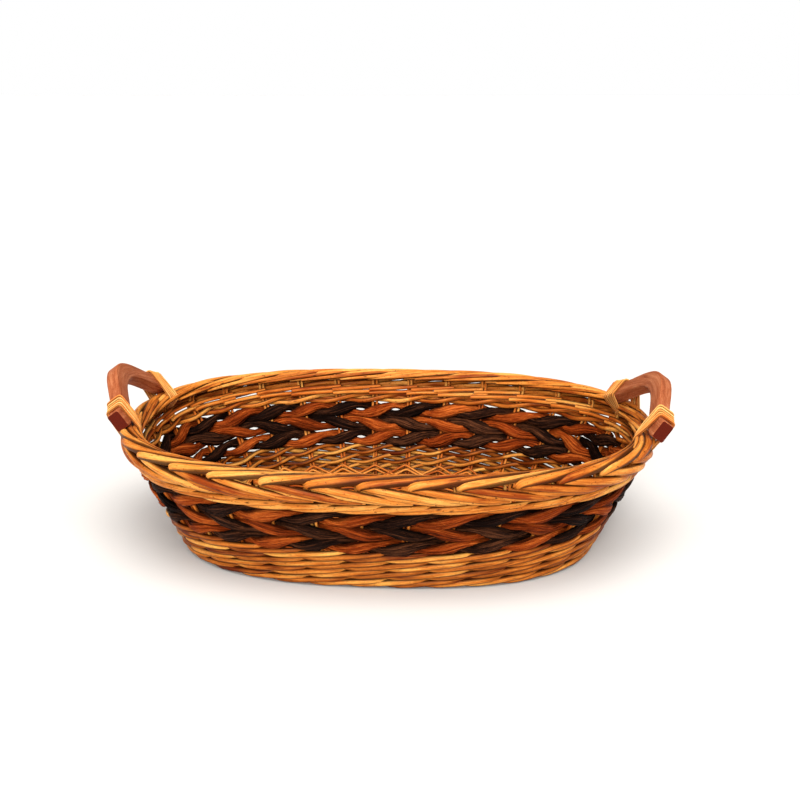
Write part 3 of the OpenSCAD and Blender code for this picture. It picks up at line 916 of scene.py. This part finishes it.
def bar_outline(u, depth):
    """Rounded rectangle across the bar at u as rows of (r, w), a little smaller at the very end."""
    trim = END_TRIM * max(0.0, 1 - (HANDLE_LENGTH / 2 - abs(u)) / END_TRIM_LENGTH)
    half_r, half_w = depth / 2 - trim - CORNER, HANDLE_THICK / 2 - trim - CORNER
    outline = []
    for k, (way_r, way_w) in enumerate(((1, 1), (-1, 1), (-1, -1), (1, -1))):
        for a in np.linspace(0, math.pi / 2, CORNER_POINTS) + k * math.pi / 2:
            outline.append((way_r * half_r + CORNER * math.cos(a), way_w * half_w + CORNER * math.sin(a)))
    return np.array(outline)


def make_handle(side, name):
    """A bar of rounded rectangular section whose depth follows the arch."""
    verts, grain = [], []
    for u in np.linspace(-HANDLE_LENGTH / 2, HANDLE_LENGTH / 2, HANDLE_SECTIONS):
        top, bottom = float(outer_edge(u)), float(inner_edge(u))
        middle = (top + bottom) / 2
        r, w = bar_outline(u, top - bottom).T
        verts.append(handle_point(side, np.full(len(r), u), middle + r, w))
        along = np.full(len(r), u + HANDLE_GRAIN_SHIFT * side)
        grain.append(np.stack([along, r + middle * GRAIN_FOLLOW, w], -1))
    # The end faces have points of their own, marked as end grain
    m = len(verts[0])
    base = HANDLE_SECTIONS * m
    tone = np.concatenate([np.zeros(base), np.ones(2 * m)])
    values = {"grain": np.vstack(grain + [grain[0], grain[-1]]), "tone": tone}
    faces = [face[::side] for face in tube_faces(0, HANDLE_SECTIONS, m, False)]
    faces.append([base + j for j in range(m)][::-side])
    faces.append([base + m + j for j in range(m)][::side])
    return new_mesh(name, np.vstack(verts + [verts[0], verts[-1]]), faces, values, HANDLE_SHARP)


def make_handles():
    for side, word in SIDES.items():
        name = f"bow_handle_{word}"
        finish_piece(make_handle(side, name), name, [f"handle_{word}"], HANDLE)


# ---------------------------------------------------------------------------
# Bindings: loops pulled tight round the border and a handle's foot
# ---------------------------------------------------------------------------
STRANDS = 5
STRAND_W, STRAND_T = 2.4, 2.0
STRAND_TONES = (0.2, 1.0)
BINDING_INSET = 12.0
# What a loop goes round at the border: (z, mm outside the mouth oval)
BINDING_RIM = [(80.0, 6.0), (80.0, -1.0), (84.5, 7.8), (85.5, -5.6), (88.5, -5.2)]
LOOP_POINTS, LOOP_ROUNDING = 120, 12
SOFTENING = 5
# The strands draw together away from the handle, and waver
PULL, PULL_FROM, PULL_SPAN = 0.35, FOOT_Z + 2, 14
WAVER, WAVER_PERIOD = 0.5, 15.0
BINDING_SEED = 601


def hull(points):
    """Convex outline of 2-D points, counter-clockwise."""
    points = sorted(set(points))

    def turns_left(a, b, c):
        return (b[0] - a[0]) * (c[1] - a[1]) - (b[1] - a[1]) * (c[0] - a[0]) > 0

    def half(ordered):
        line = []
        for p in ordered:
            while len(line) > 1 and not turns_left(line[-2], line[-1], p):
                line.pop()
            line.append(p)
        return line[:-1]

    return np.array(half(points) + half(points[::-1]))


def tight_loop(points, gap):
    """An even, rounded closed path that runs gap outside the hull of some points."""
    turn = np.linspace(0, 2 * math.pi, LOOP_ROUNDING, endpoint=False)
    grown = hull([(x + gap * math.cos(a), z + gap * math.sin(a)) for x, z in points for a in turn])
    closed = np.vstack([grown, grown[:1]])
    along = distances(closed)
    s = np.linspace(0, along[-1], LOOP_POINTS, endpoint=False)
    path = np.stack([np.interp(s, along, closed[:, 0]), np.interp(s, along, closed[:, 1])], -1)
    for _ in range(SOFTENING):
        path = (np.roll(path, 1, 0) + 2 * path + np.roll(path, -1, 0)) / 4
    return path


def bar_section(side, y, r, w):
    """Where the upright plane at y cuts the bar, as (x, z)."""
    out, up = leaned(r, w)
    return FOOT_X[side] + out / math.cos(TURN[side]) - (y - HANDLE_Y) * math.tan(TURN[side]), FOOT_Z + up


def make_binding(side, end, name, node, seed):
    rods = Rods(name, "binding_willow", [node], BINDING, seed)
    rng = seeded(seed)
    spacing = spacing_at(0, STAKE_TOP)
    middle = HANDLE_Y + end * (HANDLE_LENGTH / 2 - BINDING_INSET) * math.cos(TURN[side])
    fade = np.sin(np.linspace(0, math.pi, LOOP_POINTS)) ** 0.5
    for k in range(STRANDS):
        y = middle + (k - (STRANDS - 1) / 2) * STRAND_W
        u = abs(y - HANDLE_Y) / math.cos(TURN[side])
        t = abs(y) / spacing
        points = [(float(wall(t, z, rim_off(z, off))[0]), z) for z, off in BINDING_RIM]
        points += [bar_section(side, y, r, w) for r in (float(inner_edge(u)), float(outer_edge(u - 1)))
                   for w in (-HANDLE_THICK / 2, HANDLE_THICK / 2)]
        x, z = tight_loop(points, STRAND_T / 2).T
        pull = PULL * np.clip((PULL_FROM - z) / PULL_SPAN, 0, 1)
        waver = WAVER * smooth_noise(np.arange(LOOP_POINTS), seed * 9 + k, WAVER_PERIOD) * fade
        path = np.stack([side * x, y + (middle - y) * pull + waver, z], -1)
        tangent = np.roll(path, -1, 0) - np.roll(path, 1, 0)
        out = unit(np.cross(tangent, [0, -side, 0]))
        tone = rng.uniform(*STRAND_TONES)
        rods.add(path, out, STRAND_T, STRAND_W, sides=10, closed=True, tone=tone, wobble=0.03)
    rods.build()


def make_bindings():
    seed = BINDING_SEED
    for side, word in SIDES.items():
        for end, place in ((-1, "front"), (1, "rear")):
            make_binding(side, end, f"skein_{word}_{place}", f"binding_{word}_{place}", seed)
            seed += 1


# ---------------------------------------------------------------------------
# Studio (metres)
# ---------------------------------------------------------------------------
FLOOR_HALF = 30.0
FLOOR_COLOUR = (0.70, 0.685, 0.675, 1)
LIGHT_COLOUR = (1, 0.98, 0.94)
# Direction, strength and angular size in degrees
KEY_LIGHT = (-0.08, 0.42, -1.0), 4.0, 55
FILL_LIGHT = (0.10, 0.95, -0.38), 2.1, 20
# White surroundings as (height of the direction, strength): bright round the horizon, dimmer overhead
HORIZON, OVERHEAD = (0.09, 1.0), (0.20, 0.22)
CAMERA_PLACE = (0.0604, -0.7688, 0.3251)
CAMERA_AIM = (-0.06403, 0.95832, -0.27843)
CAMERA_LENS, CAMERA_SENSOR = 49.12, 36.0


def make_floor():
    corners = [(x * FLOOR_HALF, y * FLOOR_HALF, 0) for x, y in ((-1, -1), (1, -1), (1, 1), (-1, 1))]
    mesh = bpy.data.meshes.new("studio_floor")
    mesh.from_pydata(corners, [], [(0, 1, 2, 3)])
    floor = bpy.data.objects.new("studio_floor", mesh)
    bpy.context.scene.collection.objects.link(floor)
    s = Shader("floor_mat")
    s.surface({"Base Color": FLOOR_COLOUR, "Roughness": 0.8, "Specular IOR Level": 0.1})
    mesh.materials.append(s.material)


def aimed(name, data, direction):
    """A camera or light that points along direction."""
    ob = bpy.data.objects.new(name, data)
    ob.rotation_mode = "QUATERNION"
    ob.rotation_quaternion = Vector(direction).to_track_quat("-Z", "Y")
    bpy.context.scene.collection.objects.link(ob)
    return ob


def sun(name, direction, strength, angle):
    """A distant soft light that shines along direction."""
    light = bpy.data.lights.new(name, "SUN")
    light.energy = strength
    light.angle = math.radians(angle)
    light.color = LIGHT_COLOUR
    aimed(name, light, direction)


def make_lights():
    sun("key", *KEY_LIGHT)
    sun("fill", *FILL_LIGHT)
    world = bpy.data.worlds.new("studio")
    world.use_nodes = True
    tree = world.node_tree
    background = tree.nodes["Background"]
    place = tree.nodes.new("ShaderNodeTexCoord")
    parts = tree.nodes.new("ShaderNodeSeparateXYZ")
    ramp = tree.nodes.new("ShaderNodeMapRange")
    tree.links.new(place.outputs["Generated"], parts.inputs[0])
    tree.links.new(parts.outputs["Z"], ramp.inputs["Value"])
    for word, (height, strength) in (("Min", HORIZON), ("Max", OVERHEAD)):
        ramp.inputs[f"From {word}"].default_value = height
        ramp.inputs[f"To {word}"].default_value = strength
    tree.links.new(ramp.outputs["Result"], background.inputs["Strength"])
    background.inputs["Color"].default_value = (1, 1, 1, 1)
    bpy.context.scene.world = world
    bpy.context.scene.view_settings.view_transform = "Standard"


def make_camera():
    data = bpy.data.cameras.new("camera")
    data.lens = CAMERA_LENS
    data.sensor_width = CAMERA_SENSOR
    camera = aimed("camera", data, CAMERA_AIM)
    camera.location = CAMERA_PLACE
    bpy.context.scene.camera = camera


make_camera()
make_stakes()
make_siding()
make_band()
make_border()
make_foot_arches()
make_base()
make_handles()
make_bindings()
make_floor()
make_lights()
